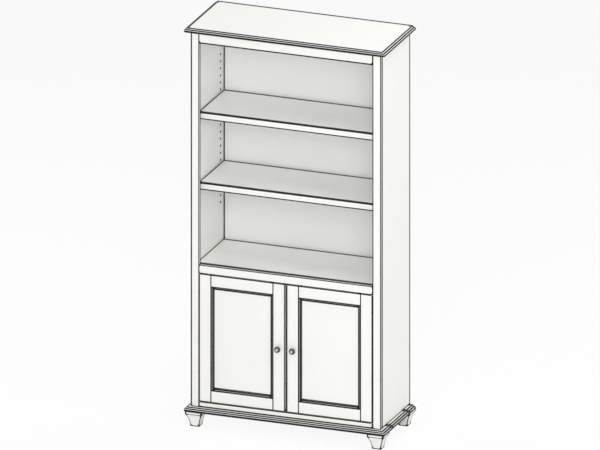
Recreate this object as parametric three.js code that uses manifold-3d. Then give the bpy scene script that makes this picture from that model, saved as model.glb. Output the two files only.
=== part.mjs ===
// Bookcase with a two-door cabinet below three open bays, standing on a moulded base and four flared feet.
// Millimetres, +Z up. The origin is on the floor, under the middle of the overall box.
// The front faces -Y, and left and right are as seen from the front.
import * as THREE from "three";
import { mergeVertices } from "three/addons/utils/BufferGeometryUtils.js";
import Module from "manifold-3d";

const wasm = await Module();
wasm.setup();

// Case
const caseWidth = 863.6;
const caseDepth = 355.6; // front of the face frame to the back of the sides
const caseHeight = 1689.1; // top of the base to the underside of the top
const boardThickness = 19.05;
const jointGap = 0.3; // left between pieces that are glued, screwed or rest together
const overrun = 5; // how far a cutting solid runs past the face it cuts

// Moulded top and base: a flat ledge, then a cove, then a bead, then a short upright edge
const ledgeWidth = 12.7;
const coveRadius = 6.35;
const beadRadius = 6.35;
const topThickness = 19.05;
const baseThickness = 19.05;
const baseFrontRailWidth = 101.6;
const baseSideRailWidth = 101.6;
const baseBackRailWidth = 76.2;

// Feet
const footHeight = 69.85;
const footTopWidth = 76.2;
const footSoleWidth = 41.275;
const footBandHeight = 12.7;
const footInset = 19.05; // case side, and case front or back, to the middle of a foot
const footTenonDiameter = 25.4;
const footTenonLength = 15.9;

// Face frame
const frameThickness = 19.05;
const stileWidth = 38.1;
const topRailWidth = 50.8;
const midRailWidth = 38.1;
const bottomRailWidth = 25.4;
const railTenonLength = 19.05;
const railTenonThickness = 6.35;
const railTenonShoulder = 6.35;

// Joints in the sides
const housingDepth = 6.35;
const backThickness = 4.76;
const backRabbetWidth = 9.525;

// Shelves and their pins
const fixedShelfTop = 641.35; // above the top of the base
const shelfSetback = 20.64; // back of the face frame to the front of a loose shelf
const shelfEndClearance = 1.6;
const shelfBackClearance = 1.6;
const nosingHeight = 31.75;
const nosingThickness = 12.7;
const nosingRadius = 6.35;
const nosingEase = 2.4;
const pinPitch = 31.75;
const pinHoleDiameter = 5;
const pinHoleDepth = 9.5;
const pinRowRise = 177.8; // shelf or floor below to the first hole of a row
const frontPinInset = 38.1; // back of the face frame to the front row of holes
const backPinInset = 41.275; // back panel to the back row of holes
const pinTabRadius = 3.6;
const pinTabLength = 9.5;
const pinCollarThickness = 1.2;

// Doors
const doorThickness = 19.05;
const doorGap = 1.5875; // above and below
const doorHingeGap = 0.8;
const doorMeetingGap = 9.525;
const doorFlatWidth = 53.975; // flat face of a door stile or rail, without its moulding
const mouldingWidth = 9.525;
const quirkDepth = 0.79;
const ovoloRadius = 5.56;
const panelRecess = 7.9375; // door face to panel face
const panelThickness = 6.35;
const panelFloat = 1.2; // room for the panel to move in its grooves

// Pivot hinges let into the door ends and the rails
const knuckleRadius = 3.2;
const hingePinDiameter = 2.4;
const hingePinClearance = 0.1;
const leafThickness = 2;
const leafLength = 38;
const leafWidth = 9.5;
const leafNeckWidth = 6.4;
const washerRadius = 2.6;

// Knobs
const knobDiameter = 27;
const knobProjection = 25;
const knobRise = 308; // top of the base to the middle of a knob
const knobFromMeetingEdge = 28.575;
const knobBaseDiameter = 15.9;
const knobBaseThickness = 2;
const knobWaistDiameter = 12.7;
const knobWaistHeight = 5; // door face to the narrowest place
const knobWidestHeight = 14.5; // door face to the widest place
const knobScrewDiameter = 4;
const knobScrewLength = 14;
const roundShare = 0.5523; // of a quarter ellipse's radius, from its end to the control point

// Magnetic catch
const catchWidth = 44;
const catchDepth = 15;
const catchDrop = 17; // how far the catch hangs below the rail
const catchPoleWidth = 3;
const catchPoleHeight = 11;
const catchPoleReach = 1.2;
const strikeWidth = 14;
const strikeHeight = 15.9;
const strikeThickness = 1.2;

// Counts
const bookRowHoleCount = 22;
const cabinetRowHoleCount = 7;
const lowerShelfHoleCount = 5; // holes of the row below the ones that carry the shelf
const upperShelfHoleCount = 15;
const cabinetShelfHoleCount = 3;
const arcSteps = 5;
const footCurveSteps = 8;
const holeSides = 8;
const roundSides = 24;

// Levels and planes
const baseBottom = footHeight;
const baseTop = baseBottom + baseThickness;
const caseTop = baseTop + caseHeight;
const overhang = ledgeWidth + coveRadius + beadRadius;
const footReach = footTopWidth / 2 - footInset; // how far a foot passes the case
const overallDepth = overhang + caseDepth + footReach;
const faceY = -overallDepth / 2 + overhang; // front of the face frame and of the doors
const frameBackY = faceY + frameThickness;
const caseBackY = faceY + caseDepth;
const backPanelY = caseBackY - backThickness;
const innerHalf = caseWidth / 2 - boardThickness;
const openingHalf = caseWidth / 2 - stileWidth;
const floorTop = baseTop + bottomRailWidth;
const fixedTop = baseTop + fixedShelfTop;
const midRailBottom = fixedTop - midRailWidth;
const subTopBottom = caseTop - boardThickness;

const doorBottom = floorTop + doorGap;
const doorTop = midRailBottom - doorGap;
const doorHeight = doorTop - doorBottom;
const doorWidth = openingHalf - doorHingeGap - doorMeetingGap / 2;
const memberWidth = doorFlatWidth + mouldingWidth;
const pinReach = knuckleRadius + jointGap; // hinge pin to the door face
const hingePinX = -openingHalf + doorHingeGap / 2;
const hingePinY = faceY - pinReach;

const frontPinY = frameBackY + frontPinInset;
const backPinY = backPanelY - backPinInset;
const bookRowZ = fixedTop + pinRowRise;
const cabinetRowZ = floorTop + pinRowRise;
const catchFrontY = faceY + doorThickness + strikeThickness + catchPoleReach + 3 * jointGap;

// Solids

function solid(geometry) {
  geometry.deleteAttribute("normal");
  geometry.deleteAttribute("uv");
  const merged = mergeVertices(geometry);
  return new wasm.Manifold(
    new wasm.Mesh({
      numProp: 3,
      vertProperties: new Float32Array(merged.attributes.position.array),
      triVerts: new Uint32Array(merged.index.array),
    }),
  );
}

function box([x0, x1], [y0, y1], [z0, z1]) {
  const g = new THREE.BoxGeometry(x1 - x0, y1 - y0, z1 - z0);
  return solid(g.translate((x0 + x1) / 2, (y0 + y1) / 2, (z0 + z1) / 2));
}

const axisX = new THREE.Vector3(1, 0, 0);
const axisY = new THREE.Vector3(0, 1, 0);
const axisZ = new THREE.Vector3(0, 0, 1);

// An outline carried along an axis: [y, z] points along X, [x, z] along Y, [x, y] along Z.
function prism(outline, axis, from, to) {
  const shape = new THREE.Shape(outline.map(([a, b]) => new THREE.Vector2(a, b)));
  const g = new THREE.ExtrudeGeometry(shape, { depth: to - from, bevelEnabled: false, steps: 1 });
  const basis = new THREE.Matrix4();
  if (axis === axisX) basis.makeBasis(axisY, axisZ, axisX).setPosition(from, 0, 0);
  if (axis === axisY) basis.makeBasis(axisX, axisZ, axisY.clone().negate()).setPosition(0, to, 0);
  if (axis === axisZ) basis.makeTranslation(0, 0, from);
  return solid(g.applyMatrix4(basis));
}

// A round bar about an axis through the origin.
function rod(radius, axis, from, to, sides = roundSides) {
  const g = new THREE.CylinderGeometry(radius, radius, to - from, sides);
  g.translate(0, (from + to) / 2, 0);
  if (axis === axisX) g.rotateZ(-Math.PI / 2);
  if (axis === axisZ) g.rotateX(Math.PI / 2);
  return solid(g);
}

// A turned form about the Z axis, from [radius, height] points that start and end on the axis.
function turned(points, sides = roundSides) {
  const g = new THREE.LatheGeometry(points.map(([r, h]) => new THREE.Vector2(r, h)), sides);
  return solid(g.rotateX(Math.PI / 2));
}

function moved(s, x, y, z) {
  return s.translate([x, y, z]);
}

// Points of an arc about a centre, from one angle to another, in degrees.
function arc([cx, cy], radius, fromDegrees, toDegrees, steps = arcSteps) {
  return Array.from({ length: steps + 1 }, (_, i) => {
    const a = THREE.MathUtils.degToRad(fromDegrees + ((toDegrees - fromDegrees) * i) / steps);
    return [cx + radius * Math.cos(a), cy + radius * Math.sin(a)];
  });
}

// Scene graph

const bookcase = new THREE.Group();

const painted = new THREE.MeshStandardMaterial({ color: 0xf1efea, roughness: 0.42, metalness: 0 });
const paintedBack = new THREE.MeshStandardMaterial({ color: 0xecebe6, roughness: 0.5, metalness: 0 });
const nickel = new THREE.MeshStandardMaterial({ color: 0xb9b6ae, roughness: 0.3, metalness: 1 });
const moulded = new THREE.MeshStandardMaterial({ color: 0xd8d4cb, roughness: 0.55, metalness: 0 });

function piece(parent, name, shape, material, place = [0, 0, 0]) {
  const { numProp, vertProperties, triVerts } = shape.getMesh();
  const position = new Float32Array((vertProperties.length / numProp) * 3);
  for (let i = 0; i < position.length / 3; i++)
    position.set(vertProperties.subarray(i * numProp, i * numProp + 3), i * 3);
  const indexed = new THREE.BufferGeometry()
    .setAttribute("position", new THREE.BufferAttribute(position, 3))
    .setIndex(new THREE.BufferAttribute(triVerts, 1));
  const geometry = indexed.toNonIndexed();
  geometry.computeVertexNormals();
  const mesh = new THREE.Mesh(geometry, material);
  mesh.name = name;
  mesh.position.set(...place);
  parent.add(mesh);
}

// Left and right copies: the right one is the left one mirrored across the middle of the case.
function bothSides(build) {
  for (const side of ["left", "right"]) {
    const group = new THREE.Group();
    group.scale.x = side === "left" ? 1 : -1;
    bookcase.add(group);
    build(group, side);
  }
}

// Moulded boards: the edge runs along the front and both ends, and turns round each front corner

// The edge from its top line down, as [out, z] from the line of the ledge.
function edgeProfile(thickness) {
  return [
    ...arc([coveRadius, 0], coveRadius, 180, 270),
    ...arc([coveRadius, -coveRadius - beadRadius], beadRadius, 90, 0).slice(1),
    [coveRadius + beadRadius, -thickness],
  ];
}

// A closed solid through level outlines of equal count, from the top down, each counter-clockwise from above.
function stacked(outlines) {
  const count = outlines[0].length;
  const at = (level, i) => level * count + (i % count);
  const last = outlines.length - 1;
  const faces = [];
  for (let i = 0; i < count; i++) {
    faces.push(at(0, 0), at(0, i), at(0, i + 1), at(last, 0), at(last, i + 1), at(last, i));
    for (let level = 0; level < last; level++) {
      const [a, b, c, d] = [at(level, i), at(level, i + 1), at(level + 1, i), at(level + 1, i + 1)];
      faces.push(a, c, d, a, d, b);
    }
  }
  const g = new THREE.BufferGeometry().setFromPoints(outlines.flat().map((p) => new THREE.Vector3(...p)));
  return solid(g.setIndex(faces));
}

// The board's top is at z = 0, and its flat top is as wide and deep as the case plus the ledges.
function mouldedBoard(thickness) {
  const half = caseWidth / 2 + ledgeWidth;
  const front = faceY - ledgeWidth;
  const outlines = edgeProfile(thickness).map(([out, z]) => {
    const plan = [
      [-half - out, caseBackY],
      ...arc([-half, front], out, 180, 270),
      ...arc([half, front], out, 270, 360),
      [half + out, caseBackY],
    ];
    return plan.map(([x, y]) => [x, y, z]);
  });
  return stacked(outlines);
}

function addTop() {
  piece(bookcase, "top_panel", mouldedBoard(topThickness - jointGap), painted, [0, 0, caseTop + topThickness]);
}

function addBase() {
  const board = mouldedBoard(baseThickness);
  const wide = caseWidth / 2 + overhang + overrun;
  const tall = [-baseThickness - overrun, overrun];
  const frontSeam = faceY - overhang + baseFrontRailWidth;
  const backSeam = caseBackY - baseBackRailWidth;
  const innerSide = caseWidth / 2 + overhang - baseSideRailWidth;
  const frontPart = box([-wide, wide], [faceY - overhang - overrun, frontSeam], tall);
  const backPart = box([-wide, wide], [backSeam, caseBackY + overrun], tall);
  const sidePart = box([-wide, -innerSide], [frontSeam + jointGap, backSeam - jointGap], tall);
  const socket = rod(footTenonDiameter / 2 + jointGap, axisZ, -baseThickness - overrun, footTenonLength - baseThickness + jointGap);
  const footX = caseWidth / 2 - footInset;
  const sockets = (y) => moved(socket, -footX, y, 0).add(moved(socket, footX, y, 0));
  const place = [0, 0, baseTop];
  piece(bookcase, "front_base_rail", board.intersect(frontPart).subtract(sockets(faceY + footInset)), painted, place);
  piece(bookcase, "back_base_rail", board.intersect(backPart).subtract(sockets(caseBackY - footInset)), painted, place);
  bothSides((group, side) => {
    piece(group, side + "_base_rail", board.intersect(sidePart), painted, place);
  });
}

// A foot is square in plan, with a short band over four sides that curve in to the sole.
function foot() {
  const half = footTopWidth / 2;
  const soleHalf = footSoleWidth / 2;
  const rise = footHeight - footBandHeight;
  const flare = half - soleHalf;
  const radius = (rise * rise + flare * flare) / (2 * flare);
  const sweep = THREE.MathUtils.radToDeg(Math.asin(rise / radius));
  const curve = arc([soleHalf + radius, 0], radius, 180, 180 - sweep, footCurveSteps);
  const rightSide = [...curve, [half, footHeight - jointGap]];
  const leftSide = rightSide.map(([x, z]) => [-x, z]).reverse();
  const outline = [...rightSide, ...leftSide];
  const tenon = rod(footTenonDiameter / 2, axisZ, rise, footHeight + footTenonLength);
  return prism(outline, axisY, -half, half)
    .intersect(prism(outline, axisX, -half, half))
    .add(tenon);
}

function addFeet() {
  const shape = foot();
  const x = -caseWidth / 2 + footInset;
  bothSides((group, side) => {
    piece(group, "front_" + side + "_foot", shape, painted, [x, faceY + footInset, 0]);
    piece(group, "back_" + side + "_foot", shape, painted, [x, caseBackY - footInset, 0]);
  });
}

// Case

// Centres of the pin holes of one side, as [y, z], rows of the open bays first.
function pinHoles() {
  const rows = [
    [bookRowZ, bookRowHoleCount],
    [cabinetRowZ, cabinetRowHoleCount],
  ];
  return rows.flatMap(([start, count]) =>
    Array.from({ length: count }, (_, i) => start + i * pinPitch).flatMap((z) => [
      [frontPinY, z],
      [backPinY, z],
    ]),
  );
}

function sidePanel() {
  const inner = -innerHalf;
  const housing = (bottom) =>
    box(
      [inner - housingDepth, inner + overrun],
      [frameBackY - overrun, caseBackY + overrun],
      [bottom - jointGap, bottom + boardThickness + jointGap],
    );
  const rabbet = box(
    [inner - backRabbetWidth, inner + overrun],
    [backPanelY - jointGap, caseBackY + overrun],
    [baseTop - overrun, caseTop + overrun],
  );
  const drill = rod(pinHoleDiameter / 2, axisX, inner - pinHoleDepth, inner + overrun, holeSides);
  const holes = pinHoles().map(([y, z]) => moved(drill, 0, y, z));
  return box([-caseWidth / 2, inner], [frameBackY + jointGap, caseBackY], [baseTop + jointGap, caseTop - jointGap])
    .subtract(rabbet)
    .subtract(housing(floorTop - boardThickness))
    .subtract(housing(fixedTop - boardThickness))
    .subtract(housing(subTopBottom))
    .subtract(wasm.Manifold.union(holes));
}

function addCase() {
  bothSides((group, side) => piece(group, side + "_side_panel", sidePanel(), painted));

  const backHalf = innerHalf + backRabbetWidth - jointGap;
  piece(
    bookcase,
    "back_panel",
    box([-backHalf, backHalf], [backPanelY, caseBackY], [baseTop + jointGap, caseTop - jointGap]),
    paintedBack,
  );

  const boardHalf = innerHalf + housingDepth - jointGap;
  const boardDepth = [frameBackY + jointGap, backPanelY - jointGap];
  const housedBoard = (bottom, top) => box([-boardHalf, boardHalf], boardDepth, [bottom, top]);
  piece(bookcase, "cabinet_floor", housedBoard(floorTop - boardThickness, floorTop), painted);
  piece(bookcase, "fixed_shelf", housedBoard(fixedTop - boardThickness, fixedTop), painted);
  piece(bookcase, "sub_top", housedBoard(subTopBottom, caseTop - jointGap), painted);
}

// Face frame: rails tenoned into the stiles

function addFaceFrame() {
  const rails = [
    ["top_rail", caseTop - topRailWidth, caseTop - jointGap],
    ["mid_rail", midRailBottom, fixedTop],
    ["bottom_rail", baseTop + jointGap, floorTop],
  ];
  const middleY = faceY + frameThickness / 2;
  const tenon = ([, bottom, top], clearance) =>
    box(
      [-openingHalf - railTenonLength - clearance, openingHalf + railTenonLength + clearance],
      [middleY - railTenonThickness / 2 - clearance, middleY + railTenonThickness / 2 + clearance],
      [bottom + railTenonShoulder - clearance, top - railTenonShoulder + clearance],
    );
  const railHalf = openingHalf - jointGap;
  for (const rail of rails) {
    const [name, bottom, top] = rail;
    let shape = box([-railHalf, railHalf], [faceY, frameBackY], [bottom, top]).add(tenon(rail, 0));
    if (name === "mid_rail") shape = shape.subtract(bothEnds(frameLeafRecess(midRailBottom, 1)));
    if (name === "bottom_rail") shape = shape.subtract(bothEnds(frameLeafRecess(floorTop, -1)));
    piece(bookcase, name, shape, painted);
  }
  bothSides((group, side) => {
    const stile = box([-caseWidth / 2, -openingHalf], [faceY, frameBackY], [baseTop + jointGap, caseTop - jointGap]);
    piece(group, side + "_stile", rails.reduce((s, rail) => s.subtract(tenon(rail, jointGap)), stile), painted);
  });
}

function bothEnds(shape) {
  return shape.add(shape.mirror([1, 0, 0]));
}

// Pivot hinges. In plan a leaf is a strip along the member, a neck to the front and a round knuckle at the pin.
// The pin is at the origin, and the member's end is at x = endX.
function leafPlan(endX, thickness, growth = 0) {
  const height = [-growth, thickness + growth];
  const stripY = pinReach + (doorThickness - leafWidth) / 2;
  const strip = box(
    [endX - growth, endX + leafLength + growth],
    [stripY - growth, stripY + leafWidth + growth],
    height,
  );
  const neck = box([endX - growth, endX + leafNeckWidth + growth], [-growth, stripY + leafWidth + growth], height);
  return strip.add(neck);
}

const frameLeafEnd = jointGap - doorHingeGap / 2;
const doorLeafEnd = jointGap + doorHingeGap / 2;

// What is cut from a rail for a frame leaf, at the rail's edge z: up = 1 into the rail above, -1 into the rail below.
function frameLeafRecess(z, up) {
  const cut = leafPlan(frameLeafEnd, leafThickness, jointGap);
  const placed = up > 0 ? cut : cut.mirror([0, 0, 1]);
  return moved(placed, hingePinX, hingePinY, z);
}

// Frame leaf at the rail's edge z = 0, with its washer and pin pointing down into the door.
function frameLeaf() {
  const bottom = -doorGap - leafThickness + jointGap;
  return leafPlan(frameLeafEnd, leafThickness - jointGap)
    .add(rod(knuckleRadius, axisZ, 0, leafThickness - jointGap))
    .add(rod(washerRadius, axisZ, jointGap - doorGap, leafThickness / 2))
    .add(rod(hingePinDiameter / 2, axisZ, bottom, leafThickness / 2));
}

// Door leaf in the door's top edge at z = 0, bored for the pin.
function doorLeaf() {
  const leaf = moved(leafPlan(doorLeafEnd, leafThickness - jointGap), 0, 0, jointGap - leafThickness);
  const knuckle = rod(knuckleRadius, axisZ, jointGap - leafThickness, 0);
  const bore = rod(hingePinDiameter / 2 + hingePinClearance, axisZ, -leafThickness - overrun, overrun);
  return leaf.add(knuckle).subtract(bore);
}

function doorLeafRecess() {
  return moved(leafPlan(doorLeafEnd, leafThickness, jointGap), 0, 0, -leafThickness);
}

function addFrameLeaves() {
  const upper = frameLeaf();
  const lower = upper.mirror([0, 0, 1]);
  bothSides((group, side) => {
    piece(group, side + "_upper_frame_leaf", upper, nickel, [hingePinX, hingePinY, midRailBottom]);
    piece(group, side + "_lower_frame_leaf", lower, nickel, [hingePinX, hingePinY, floorTop]);
  });
}

// Doors. Each door group has its origin on the hinge pins, level with the door's bottom edge.

// Section of a door stile or rail: across from the outer edge and back from the door face, grown by growth.
// The inner edge has a quirk, an ovolo and a fillet, and a groove for the panel and the rail tongues.
function memberOutline(growth = 0) {
  const inner = memberWidth + growth;
  const reach = ovoloRadius + growth;
  const start = THREE.MathUtils.radToDeg(Math.acos(growth / reach));
  const finish = THREE.MathUtils.radToDeg(Math.asin(growth / reach));
  const ovolo = arc([doorFlatWidth, -quirkDepth - ovoloRadius], reach, start, finish);
  const grooveBottom = memberWidth - mouldingWidth + growth;
  const grooveFront = -panelRecess + jointGap - growth;
  const grooveBack = -panelRecess - panelThickness - jointGap + growth;
  const section = [
    [-growth, growth],
    [doorFlatWidth + growth, growth],
    ...ovolo,
    [inner, -quirkDepth - ovoloRadius + growth],
    [inner, grooveFront],
    [grooveBottom, grooveFront],
    [grooveBottom, grooveBack],
    [inner, grooveBack],
    [inner, -doorThickness - growth],
    [-growth, -doorThickness - growth],
  ];
  return section.map(([across, height]) => [across, -height]);
}

// A stile's solid: outer edge at x = 0, face at y = 0, from z = 0 up.
function memberUpright(growth, bottom, top) {
  return prism(memberOutline(growth), axisZ, bottom, top);
}

function doorPieces() {
  const hingeEdge = doorHingeGap / 2;
  const meetingEdge = hingeEdge + doorWidth;
  const face = pinReach;
  const atHinge = (s) => moved(s, hingeEdge, face, 0);
  const atMeeting = (s) => moved(s.mirror([1, 0, 0]), meetingEdge, face, 0);

  const upright = memberUpright(0, 0, doorHeight);
  const cutter = memberUpright(jointGap, -overrun, doorHeight + overrun);
  const cope = atHinge(cutter).add(atMeeting(cutter));
  const railOutline = memberOutline().map(([across, back]) => [face + back, across]);
  const railSpan = [hingeEdge + doorFlatWidth, meetingEdge - doorFlatWidth];
  const bottomRail = prism(railOutline, axisX, ...railSpan).subtract(cope);
  const topRail = moved(bottomRail.mirror([0, 0, 1]), 0, 0, doorHeight);

  const recess = doorLeafRecess();
  const recesses = moved(recess, 0, 0, doorHeight).add(recess.mirror([0, 0, 1]));
  const knobX = meetingEdge - knobFromMeetingEdge;
  const knobZ = baseTop + knobRise - doorBottom;
  const knobHole = moved(
    rod(knobScrewDiameter / 2 + jointGap, axisY, -overrun, doorThickness + overrun, holeSides),
    knobX,
    face,
    knobZ,
  );
  const grooveEdge = doorFlatWidth + panelFloat;
  const panel = box(
    [hingeEdge + grooveEdge, meetingEdge - grooveEdge],
    [face + panelRecess, face + panelRecess + panelThickness],
    [grooveEdge, doorHeight - grooveEdge],
  );
  return {
    hingeStile: atHinge(upright).subtract(recesses),
    meetingStile: atMeeting(upright).subtract(knobHole),
    topRail,
    bottomRail,
    panel,
    knobPlace: [knobX, face, knobZ],
    strikePlace: [meetingEdge - strikeWidth, face + doorThickness + jointGap, doorHeight - strikeHeight],
  };
}

// A turned knob: a screw, a low base, a waist and a domed head, carried out along -Y.
function knob() {
  const baseRadius = knobBaseDiameter / 2;
  const waistRadius = knobWaistDiameter / 2;
  const headRadius = knobDiameter / 2;
  const screwRadius = knobScrewDiameter / 2;
  const domeHeight = knobProjection - knobWidestHeight;
  const path = new THREE.Path();
  path.moveTo(0, -knobScrewLength);
  path.lineTo(screwRadius, -knobScrewLength);
  path.lineTo(screwRadius, jointGap);
  path.lineTo(baseRadius, jointGap);
  path.lineTo(baseRadius, knobBaseThickness);
  path.quadraticCurveTo(waistRadius, knobBaseThickness, waistRadius, knobWaistHeight);
  path.bezierCurveTo(waistRadius, knobWidestHeight, headRadius, knobWaistHeight, headRadius, knobWidestHeight);
  path.bezierCurveTo(
    headRadius,
    knobWidestHeight + roundShare * domeHeight,
    roundShare * headRadius,
    knobProjection,
    0,
    knobProjection,
  );
  const points = path.getPoints(arcSteps).map((p) => [p.x, p.y]);
  return turned(points).rotate([90, 0, 0]);
}

function addDoors() {
  const door = doorPieces();
  const knobShape = knob();
  const upperLeaf = doorLeaf();
  const lowerLeaf = upperLeaf.mirror([0, 0, 1]);
  const strike = box([0, strikeWidth - jointGap], [0, strikeThickness], [0, strikeHeight - jointGap]);
  bothSides((half, side) => {
    const group = new THREE.Group();
    group.position.set(hingePinX, hingePinY, doorBottom);
    half.add(group);
    piece(group, side + "_door_hinge_stile", door.hingeStile, painted);
    piece(group, side + "_door_meeting_stile", door.meetingStile, painted);
    piece(group, side + "_door_top_rail", door.topRail, painted);
    piece(group, side + "_door_bottom_rail", door.bottomRail, painted);
    piece(group, side + "_door_panel", door.panel, painted);
    piece(group, side + "_knob", knobShape, nickel, door.knobPlace);
    piece(group, side + "_upper_door_leaf", upperLeaf, nickel, [0, 0, doorHeight]);
    piece(group, side + "_lower_door_leaf", lowerLeaf, nickel);
    piece(group, side + "_strike", strike, nickel, door.strikePlace);
  });
}

// The catch hangs from the fixed shelf behind the rail, with a pair of pole plates facing each strike.
function addCatch() {
  const half = catchWidth / 2;
  const bottom = midRailBottom - catchDrop;
  const body = box(
    [-half, half],
    [catchFrontY, catchFrontY + catchDepth],
    [bottom, fixedTop - boardThickness - jointGap],
  );
  const strikeMiddle = doorMeetingGap / 2 + strikeWidth / 2;
  const poleBottom = doorTop - strikeHeight / 2 - catchPoleHeight / 2;
  const poles = [-1, 1].flatMap((side) =>
    [-1, 1].map((edge) => {
      const x = side * strikeMiddle + edge * catchPoleWidth;
      return box(
        [x - catchPoleWidth / 2, x + catchPoleWidth / 2],
        [catchFrontY - catchPoleReach, catchFrontY + catchPoleWidth],
        [poleBottom, poleBottom + catchPoleHeight],
      );
    }),
  );
  piece(bookcase, "double_catch", body.add(wasm.Manifold.union(poles)), moulded);
}

// Loose shelves

function nosing() {
  const front = frameBackY + shelfSetback;
  const back = front + nosingThickness - jointGap;
  const outline = [
    [back, 0],
    ...arc([front + nosingRadius, -nosingRadius], nosingRadius, 90, 180),
    ...arc([front + nosingEase, nosingEase - nosingHeight], nosingEase, 180, 270),
    [back, -nosingHeight],
  ];
  const half = innerHalf - shelfEndClearance;
  return prism(outline, axisX, -half, half);
}

function shelfBoard(front) {
  const half = innerHalf - shelfEndClearance;
  return box([-half, half], [front, backPanelY - shelfBackClearance], [-boardThickness + jointGap, 0]);
}

// A shelf pin: a shank in the hole, a thin collar on the side's face and a half-round tab with a level top.
function shelfPin() {
  const shank = rod(pinHoleDiameter / 2 - jointGap, axisX, jointGap - pinHoleDepth, pinCollarThickness, holeSides);
  const collar = rod(pinTabRadius, axisX, jointGap, pinCollarThickness, 2 * holeSides);
  const tab = rod(pinTabRadius, axisX, jointGap, pinCollarThickness + pinTabLength, 2 * holeSides);
  const above = box([0, pinTabLength + overrun], [-overrun, overrun], [0, overrun]);
  return tab.add(collar).subtract(above).add(shank.subtract(above));
}

function addShelves() {
  const nosingFront = frameBackY + shelfSetback;
  const board = shelfBoard(nosingFront + nosingThickness);
  const bookHole = (index) => bookRowZ + index * pinPitch;
  const shelves = [
    ["upper_shelf", bookHole(upperShelfHoleCount)],
    ["lower_shelf", bookHole(lowerShelfHoleCount)],
    ["cabinet_shelf", cabinetRowZ + cabinetShelfHoleCount * pinPitch],
  ];
  const nosingShape = nosing();
  const pin = shelfPin();
  for (const [name, pinZ] of shelves) {
    const top = [0, 0, pinZ + boardThickness];
    if (name === "cabinet_shelf") {
      piece(bookcase, name, shelfBoard(nosingFront), painted, top);
    } else {
      piece(bookcase, name + "_board", board, painted, top);
      piece(bookcase, name + "_nosing", nosingShape, painted, top);
    }
    bothSides((group, side) => {
      piece(group, name + "_front_" + side + "_pin", pin, nickel, [-innerHalf, frontPinY, pinZ]);
      piece(group, name + "_back_" + side + "_pin", pin, nickel, [-innerHalf, backPinY, pinZ]);
    });
  }
}

addTop();
addBase();
addFeet();
addCase();
addFaceFrame();
addFrameLeaves();
addDoors();
addCatch();
addShelves();

export default bookcase;
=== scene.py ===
import math

import bmesh
import bpy
import numpy as np
from mathutils import Matrix, Vector


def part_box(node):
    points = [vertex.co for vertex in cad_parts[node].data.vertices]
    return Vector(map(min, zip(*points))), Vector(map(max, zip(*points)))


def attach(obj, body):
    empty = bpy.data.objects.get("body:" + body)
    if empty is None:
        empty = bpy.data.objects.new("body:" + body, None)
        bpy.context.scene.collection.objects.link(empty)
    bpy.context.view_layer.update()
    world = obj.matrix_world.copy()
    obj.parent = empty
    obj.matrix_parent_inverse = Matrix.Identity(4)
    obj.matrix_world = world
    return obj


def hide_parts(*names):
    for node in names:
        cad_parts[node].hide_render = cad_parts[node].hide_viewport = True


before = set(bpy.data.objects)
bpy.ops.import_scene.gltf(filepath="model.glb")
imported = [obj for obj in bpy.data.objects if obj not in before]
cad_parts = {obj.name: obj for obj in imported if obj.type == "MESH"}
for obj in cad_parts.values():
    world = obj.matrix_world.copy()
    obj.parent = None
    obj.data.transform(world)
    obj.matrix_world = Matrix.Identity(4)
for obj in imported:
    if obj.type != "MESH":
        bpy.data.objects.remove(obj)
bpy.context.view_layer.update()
mm = 0.001
scene = bpy.context.scene
scene.view_settings.view_transform = "Standard"


# Direction seen from the object, in degrees from the front round to the right, and degrees up.
def directionAt(azimuth, elevation):
    azimuth, elevation = math.radians(azimuth), math.radians(elevation)
    level = math.cos(elevation)
    return Vector((math.sin(azimuth) * level, -math.cos(azimuth) * level, math.sin(elevation)))


# Camera: a parallel view from the right and above
cameraView = {
    "azimuth": 20.7048,  # degrees to the right of straight ahead
    "elevation": 19.4712,
    "widthAcross": 2549.1,  # mm across the picture
    "centreLeft": 0.9,  # mm from the origin on the floor to the picture's centre, along the picture
    "centreUp": 849.3,
    "distance": 6000,
    "farthest": 60,  # m away that it still sees
}


def addCamera(view):
    azimuth = math.radians(view["azimuth"])
    back = directionAt(view["azimuth"], view["elevation"])
    right = Vector((math.cos(azimuth), math.sin(azimuth), 0))
    up = back.cross(right)
    data = bpy.data.cameras.new("camera")
    data.type = "ORTHO"
    data.ortho_scale = view["widthAcross"] * mm
    data.clip_end = view["farthest"]
    camera = bpy.data.objects.new("camera", data)
    scene.collection.objects.link(camera)
    place = (back * view["distance"] - right * view["centreLeft"] + up * view["centreUp"]) * mm
    camera.matrix_world = Matrix.Translation(place) @ Matrix((right, up, back)).transposed().to_4x4()
    scene.camera = camera


addCamera(cameraView)


# Shader helpers: a colour from sRGB to linear light, one node with its settings and links, and a material
def toLinear(hexColour):
    srgb = [int(hexColour[i : i + 2], 16) / 255 for i in (1, 3, 5)]
    return [*(c / 12.92 if c <= 0.04045 else ((c + 0.055) / 1.055) ** 2.4 for c in srgb), 1]


def addNode(tree, kind, values=None, links=None, **settings):
    made = tree.nodes.new(kind)
    for key, value in settings.items():
        setattr(made, key, value)
    for key, value in (values or {}).items():
        made.inputs[key].default_value = value
    for key, source in (links or {}).items():
        tree.links.new(source, made.inputs[key])
    return made


def newMaterial(name):
    material = bpy.data.materials.new(name)
    material.use_nodes = True
    tree = material.node_tree
    tree.nodes.clear()
    return material, tree


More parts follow.
